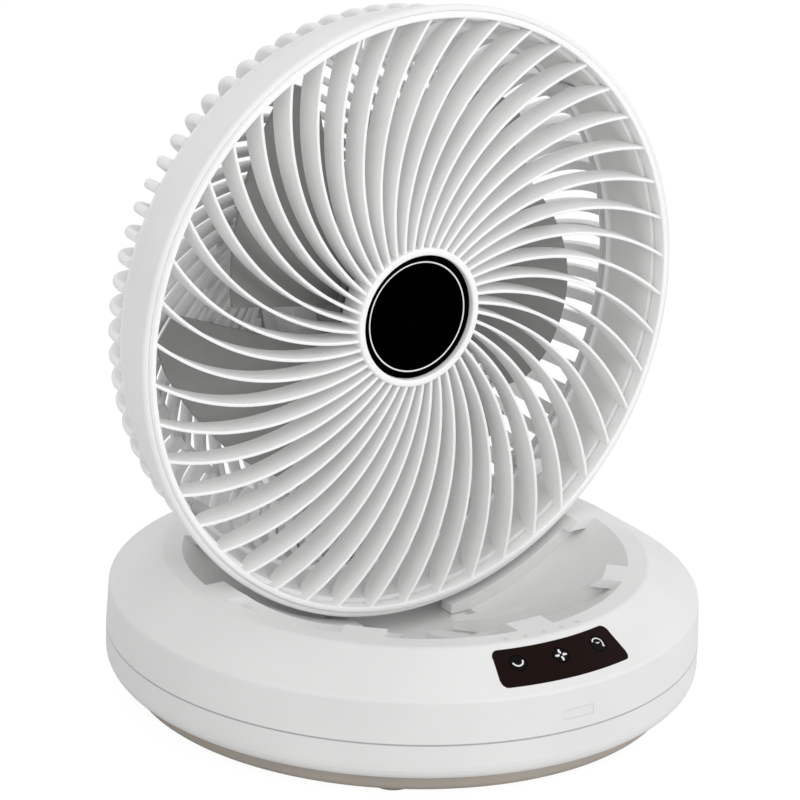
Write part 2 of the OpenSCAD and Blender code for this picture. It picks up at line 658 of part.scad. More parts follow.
module arm_outline() union() {
    circle(knuckle_r, $fn = 64);
    translate([arm_len, 0]) circle(knuckle_r, $fn = 64);
    translate([0, -arm_t / 2]) square([arm_len, arm_t]);
}
module swing_arm() color("#F0F0EE") difference() {
    in_arm() translate([0, 0, -arm_w / 2]) linear_extrude(arm_w) arm_outline();
    in_arm() translate([cover_from, -arm_t / 2 - 1, -cover_w / 2])
        cube([arm_len - 2 * cover_from, cover_t + 1, cover_w]);
    in_arm() translate([cover_from + 2, -arm_t / 2 - 1, -cover_w / 2 + 2])
        cube([arm_len - 2 * cover_from - 4, arm_t - 1.4, cover_w - 4]);
    hinge_hole(pivot_back, pivot_z, pin_r + run_fit);
    hinge_hole(head_pivot_depth, head_pivot_z, pin_r + run_fit);
}
module arm_cover() color("#E8E8E6") in_arm()
    translate([cover_from + seat_fit, -arm_t / 2, -cover_w / 2 + seat_fit])
    cube([arm_len - 2 * cover_from - 2 * seat_fit, cover_t, cover_w - 2 * seat_fit]);

module head_bracket() color("#9A9A9A") difference() {
    union() {
        translate([-ear_out, motor_back, head_pivot_z - 5]) cube([2 * ear_out, 1.8, pivot_drop + 20]);
        for (side = [-1, 1]) translate([side * (ear_in + ear_t / 2), head_pivot_depth, head_pivot_z])
            rotate([90, 0, 90]) translate([0, 0, -ear_t / 2]) linear_extrude(ear_t) union() {
                circle(knuckle_r, $fn = 64);
                polygon([[0, -knuckle_r], [0, knuckle_r], [motor_back - head_pivot_depth, knuckle_r + 12],
                    [motor_back - head_pivot_depth, -5]]);
            }
    }
    hinge_hole(head_pivot_depth, head_pivot_z, pin_r + eps);
}

// ---------- head ----------

// Each screw sits midway between two ribs of the guard
module head_screw_places() in_head()
    around([for (k = [0:3]) (floor(guard_ribs / 8) + 0.5) * 360 / guard_ribs + 90 * k])
    translate([head_screw_r, 0, 0]) children();

module outer_band() color("#F2F2F0") difference() {
    union() {
        in_head() rotate_extrude($fn = 200) polygon(concat(
            [[band_lip_r, 2.2], [band_lip_r, -2.4]],
            arc_points([(band_lip_r + band_front_r) / 2, -2.4], (band_front_r - band_lip_r) / 2, 180, 360, 8),
            [[band_front_r, 0], [band_rear_r, band_depth - 0.6], [band_rear_r - 0.6, band_depth],
             [flange_in_r, band_depth], [flange_in_r, band_depth - flange_t],
             [band_rear_r - band_wall - 0.8, band_depth - flange_t], [band_front_r - band_wall - 3, 2.2]]));
        head_screw_places() translate([0, 0, band_depth - 11]) cylinder(r = 3.4, h = 10, $fn = 48);
    }
    head_screw_places() translate([0, 0, band_depth - 9]) cylinder(r = screw_r + eps, h = 20, $fn = 48);
}

module vane_2d() intersection() {
    translate([vane_arc_offset, 0]) difference() {
        circle(vane_arc_r + vane_t / 2, $fn = 240);
        circle(vane_arc_r - vane_t / 2, $fn = 240);
    }
    difference() { circle(grille_rim_in_r + 1.2, $fn = 240); circle(grille_hub_r - 1.2); }
    wedge_2d(-100, -40);
}

hub_back_t = 2.4;
module front_grille() color("#F6F6F4") in_head() {
    intersection() {
        translate([0, 0, vane_front]) linear_extrude(vane_depth)
            around([for (k = [0:vane_count - 1]) vane_turn_deg + k * 360 / vane_count]) vane_2d();
        translate([0, 0, vane_front]) rotate_extrude($fn = 200) intersection() {
            union() {
                square([grille_rim_in_r + 1.2 - vane_depth, vane_depth]);
                translate([grille_rim_in_r + 1.2 - vane_depth, 0]) circle(vane_depth, $fn = 96);
            }
            square([far, vane_depth]);
        }
    }
    rotate_extrude($fn = 200) polygon(concat(
        [[grille_rim_in_r, 2], [grille_rim_in_r, vane_front], [grille_rim_in_r + 0.7, grille_front + 0.3]],
        arc_points([grille_rim_out_r - 0.9, grille_front + 0.9], 0.9, -90, 0, 4),
        [[grille_rim_out_r, 2]]));
    rotate_extrude() polygon([
        [badge_r + seat_fit, -2.6], [badge_r + 0.7, -3.4], [grille_hub_r - 0.6, -3.4], [grille_hub_r, -2.4],
        [grille_hub_r, vane_back], [0, vane_back], [0, vane_back - hub_back_t],
        [badge_r + seat_fit, vane_back - hub_back_t]]);
}

module hub_badge() color("#101010") in_head() rotate_extrude() polygon([
    [0, -1.4], [badge_r - 0.5, -1.4], [badge_r, -0.9], [badge_r, vane_back - hub_back_t - seat_fit],
    [0, vane_back - hub_back_t - seat_fit]]);

// ---------- rear guard ----------

guard_ring_r = guard_centre_r + 0.5;
guard_plate_r = motor_r + 8;
guard_arc_r = guard_ring_r;
guard_mid_r = (guard_ring_r - guard_ring_w + guard_plate_r) / 2;
module guard_shoulder() intersection() {
    rotate_extrude($fn = 200) intersection() {
        translate([guard_centre_r, guard_centre_y]) difference() {
            circle(guard_round_r, $fn = 96);
            circle(guard_round_r - guard_rib_d, $fn = 96);
        }
        translate([guard_ring_r - 5, guard_flange_y + 1]) square(far);
    }
    around([for (k = [0:guard_ribs - 1]) k * 360 / guard_ribs])
        translate([guard_ring_r - 6, -guard_rib_t / 2, 0]) cube([60, guard_rib_t, 60]);
}
module guard_spiral_2d() intersection() {
    translate([guard_arc_r, 0]) difference() {
        circle(guard_arc_r + spiral_rib_t / 2, $fn = 240);
        circle(guard_arc_r - spiral_rib_t / 2, $fn = 240);
    }
    difference() { circle(guard_ring_r - guard_ring_w + 1, $fn = 240); circle(guard_plate_r - 1); }
    wedge_2d(-100, -30);
}
module rear_guard() color("#E9E9E7") {
    difference() {
        in_head() translate([0, 0, guard_flange_y]) ring(band_rear_r - 0.8, flange_in_r, flange_t);
        head_screw_places() cylinder(r = screw_r + seat_fit, h = far, $fn = 48);
    }
    in_head() guard_cage();
}
module guard_cage() {
    guard_shoulder();
    translate([0, 0, guard_depth - guard_plate_t]) linear_extrude(guard_plate_t) union() {
        difference() { circle(guard_ring_r, $fn = 200); circle(guard_ring_r - guard_ring_w, $fn = 200); }
        difference() { circle(guard_mid_r + 1, $fn = 200); circle(guard_mid_r - 1, $fn = 200); }
        difference() { circle(guard_plate_r); circle(motor_r + seat_fit); }
        around([for (k = [0:spiral_ribs - 1]) k * 360 / spiral_ribs]) guard_spiral_2d();
    }
}

module head_screws() color("silver") head_screw_places()
    translate([0, 0, guard_flange_y + flange_t + 1.8]) mirror([0, 0, 1]) screw(screw_r, 2.2, 1.8, 9);

// ---------- motor and fan wheel ----------

module motor_housing() color("#E4E4E2") in_head() difference() {
    union() {
        translate([0, 0, motor_front]) cylinder(r = motor_r, h = motor_back - motor_front);
        translate([0, 0, guard_depth - guard_plate_t - 2.2]) cylinder(r = motor_r + 5, h = 2.2);
        translate([0, 0, motor_front - 3]) cylinder(r = bearing_r + 2.5, h = 4);
    }
    difference() {
        translate([0, 0, motor_front + 2]) cylinder(r = motor_r - 2.4, h = motor_back - motor_front - 4);
        translate([0, 0, motor_back - 6]) cylinder(r = bearing_r + 2.5, h = 6);
    }
    translate([0, 0, motor_front - 3 - eps]) cylinder(r = bearing_r + eps, h = bearing_h + eps);
    translate([0, 0, motor_front - 4]) cylinder(r = shaft_r + 0.6, h = 8);
    translate([0, 0, motor_back - 6 - eps]) cylinder(r = bearing_r + eps, h = bearing_h + eps);
}
module motor_bearings() color("#C0C0C0") in_head() for (z = [motor_front - 3, motor_back - 6])
    translate([0, 0, z]) ring(bearing_r, shaft_r + run_fit, bearing_h);
stator_from = motor_front + 3;
stator_h = 10;
module motor_stator() color("#8C4A2A") in_head() translate([0, 0, stator_from]) difference() {
    cylinder(r = motor_r - 2.4 - seat_fit, h = stator_h);
    translate([0, 0, -1]) cylinder(r = rotor_r + 0.5, h = stator_h + 2);
    for (a = [0:60:300]) rotate([0, 0, a + 30]) translate([rotor_r - 0.5, -1.5, -1])
        cube([motor_r - rotor_r - 7.3, 3, stator_h + 2]);
}
module motor_rotor() color("#55585C") in_head() translate([0, 0, stator_from]) ring(rotor_r, shaft_r + eps, stator_h);
module motor_shaft() color("silver") in_head()
    translate([0, 0, wheel_front - 3]) cylinder(r = shaft_r, h = motor_back - 2 - wheel_front + 3 - 0.3);

// The envelope that the blades are cut from: (radius, depth)
module blade_envelope() rotate_extrude($fn = 200) polygon([
    [wheel_hub_r - 1.5, wheel_front - 2], [wheel_r - 6, wheel_front - 2.6], [wheel_r, wheel_front + 2],
    [wheel_r, wheel_front + 20], [wheel_r - 8, wheel_front + 22], [motor_r + 10, wheel_front + 21],
    [motor_r + 7, wheel_front + wheel_hub_h], [wheel_hub_r - 1.5, wheel_front + wheel_hub_h]]);

// The outline of a blade from the front: a straight front edge, a round tip and a swept rear edge
module blade_2d() intersection() {
    translate(wheel_r * [0.073, 0.204]) circle(0.88 * wheel_r, $fn = 200);
    circle(wheel_r, $fn = 200);
    wedge_2d(-blade_lead_deg, 90);
    translate([wheel_hub_r * 1.2, 0]) rotate(blade_sweep_deg) translate([-far, -far]) square([2 * far, far]);
}

module blade() intersection() {
    linear_extrude(far, center = true) blade_2d();
    translate([0, 0, wheel_front + blade_mid]) rotate([blade_pitch_deg, 0, 0]) translate([0, 0, blade_camber_r])
        rotate([0, 90, 0]) ring(blade_camber_r, blade_camber_r - blade_t, wheel_r);
}
blade_mid = 5;

module fan_wheel() color("#6E6E6C") in_head() rotate([0, 0, wheel_turn_deg]) {
    intersection() {
        blade_envelope();
        around([for (k = [0:blade_count - 1]) k * 360 / blade_count]) blade();
    }
    difference() {
        translate([0, 0, wheel_front]) cylinder(r = wheel_hub_r, h = wheel_hub_h);
        translate([0, 0, wheel_front + 3]) ring(wheel_hub_r - 2.4, 6, 20);
        translate([0, 0, motor_front - 3 - 0.8]) cylinder(r = 7, h = 10);
        translate([0, 0, wheel_front - 1]) cylinder(r = shaft_r + eps, h = 30);
    }
}
module wheel_nut() color("silver") in_head() translate([0, 0, wheel_front - 2.6]) difference() {
    cylinder(r = 4.6, h = 2.6, $fn = 6);
    translate([0, 0, -1]) cylinder(r = shaft_r + eps, h = 5);
}

foot_disc();
foot_pads();
gear_sector();
swivel_ring();
swivel_washer();
swivel_screw();
lower_shell();
upper_shell();
base_screws();
control_panel();
button_oscillate();
button_speed();
button_timer();
control_board();
tact_switches();
indicator_lights();
receiver_window();
charge_port();
battery_cells();
battery_holders();
turning_motor();
drive_pinion();
hinge_bracket();
hinge_screws();
base_hinge_pin();
lower_friction_washers();
swing_arm();
arm_cover();
head_bracket();
head_hinge_pin();
upper_friction_washers();
outer_band();
front_grille();
hub_badge();
rear_guard();
head_screws();
motor_housing();
motor_stator();
motor_bearings();
motor_rotor();
motor_shaft();
fan_wheel();
wheel_nut();
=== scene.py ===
# Folding table fan: camera, light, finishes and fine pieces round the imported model
import json
import math

import bpy
from mathutils import Matrix, Vector


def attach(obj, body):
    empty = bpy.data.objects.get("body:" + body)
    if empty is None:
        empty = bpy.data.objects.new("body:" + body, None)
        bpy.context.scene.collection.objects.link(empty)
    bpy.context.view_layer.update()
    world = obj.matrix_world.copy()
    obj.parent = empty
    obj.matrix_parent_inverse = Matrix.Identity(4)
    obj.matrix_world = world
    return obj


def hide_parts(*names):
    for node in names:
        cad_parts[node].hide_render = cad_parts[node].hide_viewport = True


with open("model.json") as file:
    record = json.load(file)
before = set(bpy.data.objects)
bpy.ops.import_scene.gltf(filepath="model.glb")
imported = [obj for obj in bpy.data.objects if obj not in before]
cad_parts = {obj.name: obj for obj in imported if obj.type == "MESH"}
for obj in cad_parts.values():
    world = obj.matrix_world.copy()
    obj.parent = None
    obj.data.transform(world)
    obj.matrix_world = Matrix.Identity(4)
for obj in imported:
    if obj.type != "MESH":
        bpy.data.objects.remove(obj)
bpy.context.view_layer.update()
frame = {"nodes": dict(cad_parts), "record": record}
nodes = frame["nodes"]
mm = 0.001
print("frame loaded:", len(nodes), "nodes")

# Angles in degrees; the offset is where the world's origin lies from the camera: right, down and ahead
cameraLook = {"turn": 34.99, "tilt": 19.778, "roll": 2.271, "lens": 180, "sensor": 36,
              "offset": (0.033 * mm, 103.84 * mm, 1496.77 * mm), "clip": (0.05, 20)}


def addCamera(look):
    turned = Matrix.Rotation(math.radians(look["turn"]), 3, "Z")
    tilt = math.radians(look["tilt"])
    sinTilt, cosTilt = math.sin(tilt), math.cos(tilt)
    tilted = Matrix(((1, 0, 0), (0, -sinTilt, -cosTilt), (0, cosTilt, -sinTilt)))
    rolled = Matrix.Rotation(math.radians(look["roll"]), 3, "Z")
    view = rolled @ tilted @ turned  # rows: right, down and forward
    right, down, forward = view
    place = -(view.transposed() @ Vector(look["offset"]))
    data = bpy.data.cameras.new("camera")
    data.lens = look["lens"]
    data.sensor_width = look["sensor"]
    data.clip_start, data.clip_end = look["clip"]
    camera = bpy.data.objects.new("camera", data)
    bpy.context.scene.collection.objects.link(camera)
    camera.matrix_world = Matrix((
        (right.x, -down.x, -forward.x, place.x),
        (right.y, -down.y, -forward.y, place.y),
        (right.z, -down.z, -forward.z, place.z),
        (0, 0, 0, 1)))
    bpy.context.scene.camera = camera


addCamera(cameraLook)

# Soft boxes aimed at the middle of the fan, in metres
lamps = {
    "leftSoftbox": {"at": (-1.5, -0.9, 1.4), "size": (1.3, 1.3), "watts": 6.5,
                    "colour": (1, 0.995, 0.985)},
    "rightSoftbox": {"at": (1.7, -0.9, 1.0), "size": (1.2, 1.6), "watts": 7.5,
                     "colour": (0.99, 0.995, 1)},
    "frontSoftbox": {"at": (0.3, -2.1, 0.8), "size": (1.6, 1.2), "watts": 11.3, "colour": (1, 1, 1)},
    "topSoftbox": {"at": (0.1, -0.1, 2.2), "size": (1.6, 1.6), "watts": 3.5, "colour": (1, 1, 1)},
    "rearSoftbox": {"at": (0.5, 1.7, 1.3), "size": (1.6, 1.0), "watts": 1.5, "colour": (1, 1, 1)},
}
lampAim = Vector((0, 0, 0.13))
worldStrength = 0.64


def addLamp(name, lamp):
    data = bpy.data.lights.new(name, "AREA")
    data.shape = "RECTANGLE"
    data.size, data.size_y = lamp["size"]
    data.energy = lamp["watts"]
    data.color = lamp["colour"]
    lampObject = bpy.data.objects.new(name, data)
    bpy.context.scene.collection.objects.link(lampObject)
    at = Vector(lamp["at"])
    lampObject.location = at
    lampObject.rotation_mode = "QUATERNION"
    lampObject.rotation_quaternion = (lampAim - at).to_track_quat("-Z", "Y")


for name, lamp in lamps.items():
    addLamp(name, lamp)
print("camera and lamps placed:", len(lamps), "lamps")

world = bpy.data.worlds.new("paleRoom")
bpy.context.scene.world = world
world.use_nodes = True
bpy.context.scene.view_settings.view_transform = "Standard"


class Wire:  # one output socket that takes Python's operators
    def __init__(self, finish, socket):
        self.finish, self.socket = finish, socket

    def maths(self, operation, first, second):
        return self.finish.node("Math", {"operation": operation}, {0: first, 1: second})

    def __add__(self, other):
        return self.maths("ADD", self, other)

    def __radd__(self, other):
        return self.maths("ADD", other, self)

    def __sub__(self, other):
        return self.maths("SUBTRACT", self, other)

    def __rsub__(self, other):
        return self.maths("SUBTRACT", other, self)

    def __mul__(self, other):
        return self.maths("MULTIPLY", self, other)

    def __rmul__(self, other):
        return self.maths("MULTIPLY", other, self)

    def ramp(self, low, high):  # a smooth step from 0 at low to 1 at high
        return self.finish.node("MapRange", {"interpolation_type": "SMOOTHSTEP"}, {
            "Value": self, "From Min": low, "From Max": high})

    def about(self, middle, spread):  # brings a field of 0 to 1 to drift about a middle value
        return self * spread + (middle - spread / 2)


class Finish:  # one material with its Principled shader
    def __init__(self, name, **constants):
        self.material = bpy.data.materials.new(name)
        self.material.use_nodes = True
        self.tree = self.material.node_tree
        self.tree.nodes.clear()
        self.shader = self.tree.nodes.new("ShaderNodeBsdfPrincipled")
        output = self.tree.nodes.new("ShaderNodeOutputMaterial")
        self.tree.links.new(self.shader.outputs[0], output.inputs["Surface"])
        self.place = self.node("TexCoord", out="Object")
        self.set(**constants)

    def node(self, kind, settings=None, sockets=None, out=0):
        made = self.tree.nodes.new("ShaderNode" + kind)
        for key, value in (settings or {}).items():
            setattr(made, key, value)
        for key, value in (sockets or {}).items():
            self.feed(made.inputs[key], value)
        return Wire(self, made.outputs[out])

    def feed(self, socket, value):
        if isinstance(value, Wire):
            self.tree.links.new(value.socket, socket)
        elif isinstance(value, tuple) and len(value) == 3 and len(socket.default_value) == 4:
            socket.default_value = (*value, 1)
        else:
            socket.default_value = value

    def set(self, **values):  # baseColor=... sets the socket named Base Color
        for key, value in values.items():
            words = "".join(" " + letter if letter.isupper() else letter for letter in key).title()
            self.feed(self.shader.inputs[words.replace("Ior", "IOR")], value)

    def noise(self, scale, detail, roughness=0.5, place=None):
        return self.node("TexNoise", {}, {"Vector": place or self.place, "Scale": scale,
                                          "Detail": detail, "Roughness": roughness}, "Fac")

    def mix(self, factor, first, second):
        return self.node("Mix", {"data_type": "RGBA"}, {0: factor, 6: first, 7: second}, 2)

    def height(self):
        return self.node("SeparateXYZ", {}, {0: self.place}, "Z")

    def bump(self, height, depth, strength):
        self.set(normal=self.node("Bump", {}, {"Height": height, "Distance": depth,
                                               "Strength": strength}))


# The painted shade line between the base's shells, where shade falls in the gap: its half width with and
# without the soft edge, and how dark it is
paintedSeamShade = {"edge": 0.5, "core": 0.2, "shade": 0.6}


def scaled(colour, factor):
    return tuple(part * factor for part in colour)


# Moulded plastic: a fine spark-eroded grain, faint flow clouds, and roughness that drifts
def mouldedPlastic(name, colour, roughness, grain=1.0, cloud=0.05, coat=0.0, seam=None):
    finish = Finish(name, specularIorLevel=0.45, coatRoughness=0.25)
    clouds = finish.noise(scale=22, detail=3).ramp(low=0.3, high=0.75)
    shade = finish.mix(clouds, colour, scaled(colour, 1 - cloud))
    if seam:  # painted shade: a dark line along the joint at that height, standing in for the shade in the gap between the shells
        away = finish.node("Math", {"operation": "ABSOLUTE"}, {0: finish.height() - seam * mm})
        line = away.ramp(paintedSeamShade["edge"] * mm, paintedSeamShade["core"] * mm)
        # the painted shade is mixed into the base colour here
        shade = finish.mix(line, shade, scaled(colour, paintedSeamShade["shade"]))
    drift = finish.noise(scale=160, detail=2).about(roughness, spread=0.12)
    finish.set(baseColor=shade, roughness=drift, coatWeight=coat)
    skin = finish.noise(scale=2600, detail=2) + finish.noise(scale=900, detail=1) * 0.6
    finish.bump(skin, depth=0.02 * mm * grain, strength=0.35)
    return finish


# Gloss plastic: a smeared sheen with specks of lint
def glossPlastic(name, colour, roughness, lint=0.06, shine=0.5):
    finish = Finish(name, specularIorLevel=shine, coatRoughness=0.06)
    specks = finish.node("TexVoronoi", {"feature": "F1"},
                         {"Vector": finish.place, "Scale": 1800}, "Distance")
    patches = finish.noise(scale=300, detail=2).ramp(low=0.55, high=0.7)
    dust = specks.ramp(low=0.1, high=0.04) * patches
    paler = tuple(part + lint for part in colour)
    smear = finish.noise(scale=60, detail=4, roughness=0.6).about(roughness, spread=0.1)
    finish.set(baseColor=finish.mix(dust * 0.6, colour, paler),
               roughness=smear + dust * 0.2, coatWeight=shine * 0.5)
    finish.bump(finish.noise(scale=700, detail=2), depth=0.01 * mm, strength=0.2)
    return finish


# Brushed or drawn metal: lines along one axis, and dull stains
def brushedMetal(name, colour, roughness, along="Z"):
    finish = Finish(name, metallic=1.0)
    lengthways, crossways = 60, 3000  # the scale of the lines
    stretch = tuple(lengthways if letter == along else crossways for letter in "XYZ")
    stretched = finish.node("VectorMath", {"operation": "MULTIPLY"}, {0: finish.place, 1: stretch})
    lines = finish.noise(scale=1, detail=2, roughness=0.6, place=stretched)
    stain = finish.noise(scale=120, detail=3).ramp(low=0.5, high=0.8)
    dull = lines.ramp(low=0.3, high=0.8) * 0.5 + stain * 0.3
    finish.set(baseColor=finish.mix(dull, colour, scaled(colour, 0.72)),
               roughness=lines.about(roughness, spread=0.2))
    finish.bump(lines, depth=0.01 * mm, strength=0.3)
    return finish


# Rubber: a coarse skin, paler where it is worn
def softRubber(name, colour, roughness):
    finish = Finish(name, specularIorLevel=0.3)
    wear = finish.noise(scale=90, detail=3)
    finish.set(baseColor=finish.mix(wear.ramp(low=0.4, high=0.8), colour, scaled(colour, 1.4)),
               roughness=wear.about(roughness, spread=0.15))
    finish.bump(finish.noise(scale=1500, detail=2), depth=0.03 * mm, strength=0.5)
    return finish


recipes = {
    "shellWhite": (mouldedPlastic, {"colour": (0.87, 0.87, 0.865), "roughness": 0.4}),
    "baseWhite": (mouldedPlastic, {"colour": (0.79, 0.79, 0.785), "roughness": 0.4, "seam": 22.75}),
    "grilleWhite": (mouldedPlastic, {"colour": (0.96, 0.96, 0.955), "roughness": 0.36, "grain": 0.6}),
    "guardWhite": (mouldedPlastic, {"colour": (0.93, 0.93, 0.925), "roughness": 0.42}),
    "footGrey": (mouldedPlastic, {"colour": (0.45, 0.405, 0.355), "roughness": 0.5,
                                  "grain": 1.4, "cloud": 0.075}),
    "gearCream": (mouldedPlastic, {"colour": (0.75, 0.72, 0.62), "roughness": 0.35, "grain": 0.5}),
    "panelBlack": (glossPlastic, {"colour": (0.0095, 0.004, 0.0032), "roughness": 0.5,
                                  "lint": 0.006, "shine": 0.03}),
    "buttonBlack": (glossPlastic, {"colour": (0.001, 0.0008, 0.0008), "roughness": 0.3,
                                   "lint": 0.006, "shine": 0.05}),
    "badgeBlack": (glossPlastic, {"colour": (0.0003, 0.0003, 0.0003), "roughness": 0.3,
                                  "lint": 0.003, "shine": 0.0}),
    "wheelGrey": (mouldedPlastic, {"colour": (0.27, 0.27, 0.264), "roughness": 0.42,
                                   "grain": 0.7, "cloud": 0.075, "coat": 0.05}),
    "steel": (brushedMetal, {"colour": (0.62, 0.62, 0.62), "roughness": 0.32}),
    "bracketSteel": (brushedMetal, {"colour": (0.45, 0.46, 0.47), "roughness": 0.38, "along": "X"}),
    "motorCan": (brushedMetal, {"colour": (0.5, 0.5, 0.5), "roughness": 0.35}),
    "winding": (brushedMetal, {"colour": (0.55, 0.22, 0.08), "roughness": 0.3, "along": "X"}),
    "rotorIron": (brushedMetal, {"colour": (0.2, 0.21, 0.22), "roughness": 0.45, "along": "Y"}),
    "boardGreen": (glossPlastic, {"colour": (0.02, 0.12, 0.04), "roughness": 0.3}),
    "switchBlack": (mouldedPlastic, {"colour": (0.02, 0.02, 0.02), "roughness": 0.5}),
    "lightLens": (mouldedPlastic, {"colour": (0.68, 0.68, 0.67), "roughness": 0.3}),
    "windowLens": (glossPlastic, {"colour": (0.76, 0.76, 0.755), "roughness": 0.35}),
    "cellWrap": (glossPlastic, {"colour": (0.03, 0.14, 0.33), "roughness": 0.3}),
    "padRubber": (softRubber, {"colour": (0.35, 0.315, 0.28), "roughness": 0.755}),
    "printWhite": (mouldedPlastic, {"colour": (0.8, 0.8, 0.8), "roughness": 0.5, "grain": 0.3}),
}
finishes = {name: recipe(name, **look) for name, (recipe, look) in recipes.items()}

slotFinish = {
    "shell_white": "shellWhite", "grille_white": "grilleWhite", "guard_white": "guardWhite",
    "foot_grey": "footGrey", "gear_cream": "gearCream", "pad_rubber": "padRubber",
    "panel_black": "panelBlack", "badge_black": "badgeBlack", "button_black": "buttonBlack",
    "wheel_grey": "wheelGrey", "steel": "steel", "bracket_steel": "bracketSteel",
    "motor_can": "motorCan", "winding": "winding", "rotor_iron": "rotorIron",
    "board_green": "boardGreen", "switch_black": "switchBlack", "washer_black": "switchBlack",
    "light_lens": "lightLens", "window_lens": "windowLens", "cell_wrap": "cellWrap",
    "holder_black": "switchBlack", "socket_steel": "steel",
}
nodeFinish = {"lower_shell": "baseWhite", "upper_shell": "baseWhite"}  # in place of their slot's finish
for row in frame["record"]["subparts"]:
    mesh = nodes[row["node"]].data
    look = nodeFinish.get(row["node"], slotFinish[row["material_slot"]])
    mesh.materials.clear()
    mesh.materials.append(finishes[look].material)
print("finishes made:", len(finishes))

fanAxis = Vector((0, 0, 142.9 * mm))  # a point on the axis, which runs along Y
smoothAngle = math.radians(38)
mergeWithin = 0.002 * mm


def newPlane(name, at, size, rotation=(0, 0, 0)):
    bpy.ops.object.select_all(action="DESELECT")
    bpy.ops.mesh.primitive_plane_add(size=1, location=at, rotation=rotation)
    piece = bpy.context.object
    piece.name = name
    piece.scale = (size[0], size[1], 1)
    bpy.ops.object.transform_apply(location=True, rotation=True, scale=True)
    return piece


def editVertices(piece, chosen):  # enters edit mode with the chosen vertices selected
    bpy.context.view_layer.objects.active = piece
    for part in (*piece.data.polygons, *piece.data.edges):
        part.select = False
    for vertex in piece.data.vertices:
        vertex.select = chosen(vertex.co)
    bpy.ops.object.mode_set(mode="EDIT")
    bpy.ops.mesh.select_mode(type="VERT")


def leaveEdit():  # merges doubles and turns the faces outwards on the way out
    bpy.ops.mesh.select_all(action="SELECT")
    bpy.ops.mesh.remove_doubles(threshold=mergeWithin)
    bpy.ops.mesh.normals_make_consistent(inside=False)
    bpy.ops.object.mode_set(mode="OBJECT")


def roundCorner(piece, corner, radius, segments):  # rounds the flat section's vertex nearest to a corner
    nearest = min((vertex.co - corner).length for vertex in piece.data.vertices)
    editVertices(piece, lambda place: (place - corner).length < nearest + mergeWithin / 2)
    bpy.ops.mesh.bevel(offset=radius, segments=segments, affect="VERTICES", clamp_overlap=False)
    bpy.ops.object.mode_set(mode="OBJECT")


def spinPiece(piece, degrees, steps, centre, axis=(0, 1, 0)):  # right-handed about the axis
    editVertices(piece, lambda place: True)
    if degrees == 360:  # the section's own face would stay inside the ring
        bpy.ops.mesh.delete(type="ONLY_FACE")
        bpy.ops.mesh.select_all(action="SELECT")
    bpy.ops.mesh.spin(steps=steps, angle=math.radians(-degrees), center=centre, axis=axis)
    leaveEdit()


def sectionRing(name, ring):  # a box section between two (radius, depth) points, spun round the fan axis
    near, far = ring["near"], ring["far"]
    corners = {"nearFront": near, "farFront": (far[0], near[1]),
               "nearBack": (near[0], far[1]), "farBack": far}
    middle = fanAxis + Vector(((near[0] + far[0]) / 2, (near[1] + far[1]) / 2, 0)) * mm
    piece = newPlane(name, middle, ((far[0] - near[0]) * mm, (far[1] - near[1]) * mm))
    for corner, (radius, segments) in ring["round"].items():
        roundCorner(piece, fanAxis + Vector((*corners[corner], 0)) * mm, radius * mm, segments)
    spinPiece(piece, 360, ring["steps"], fanAxis)
    return piece


def tracedRing(name, ring):  # a section traced through (radius, depth) points, spun round the fan axis
    corners = [fanAxis + Vector((radius, depth, 0)) * mm for radius, depth in ring["section"]]
    first, *others = corners
    piece = newPlane(name, first, (mm, mm))  # one corner of this plane is kept, as the first point
    editVertices(piece, lambda place: place.x > first.x or place.y > first.y)
    bpy.ops.mesh.delete(type="VERT")
    piece = bpy.context.object
    bpy.ops.mesh.select_all(action="SELECT")
    bpy.ops.transform.translate(value=(0.5 * mm, 0.5 * mm, 0))
    for start, end in zip(corners, others):
        bpy.ops.mesh.extrude_vertices_move(TRANSFORM_OT_translate={"value": end - start})
    bpy.ops.mesh.select_all(action="SELECT")
    bpy.ops.mesh.edge_face_add()
    bpy.ops.object.mode_set(mode="OBJECT")
    for corner, (radius, segments) in ring["round"].items():
        roundCorner(piece, corners[corner], radius * mm, segments)
    spinPiece(piece, 360, ring["steps"], fanAxis)
    return piece


def copyPiece(piece, matrix):  # each copy has a mesh of its own
    twin = piece.copy()
    twin.data = piece.data.copy()
    twin.data.transform(matrix)
    bpy.context.scene.collection.objects.link(twin)
    return twin


def joinPieces(name, pieces, material):
    bpy.ops.object.select_all(action="DESELECT")
    for piece in pieces:
        piece.select_set(True)
    bpy.context.view_layer.objects.active = pieces[0]
    bpy.ops.object.join()
    joined = bpy.context.object
    joined.name = joined.data.name = name
    bpy.ops.object.shade_smooth_by_angle(angle=smoothAngle)
    joined.data.materials.clear()
    joined.data.materials.append(finishes[material].material)
    return joined


def applyBoolean(piece, other, operation):
    cut = piece.modifiers.new("trim", "BOOLEAN")
    cut.object, cut.operation, cut.solver = other, operation, "EXACT"
    bpy.context.view_layer.objects.active = piece
    bpy.ops.object.modifier_apply(modifier=cut.name)


def turnAbout(centre, degrees):
    turn = Matrix.Rotation(math.radians(degrees), 4, "Y")
    return Matrix.Translation(centre) @ turn @ Matrix.Translation(-centre)


def ringOf(piece, count, turn=0):  # the piece turned to its place, and its copies round the fan axis
    piece.data.transform(turnAbout(fanAxis, turn))
    pitch = 360 / count
    return [piece] + [copyPiece(piece, turnAbout(fanAxis, pitch * step)) for step in range(1, count)]


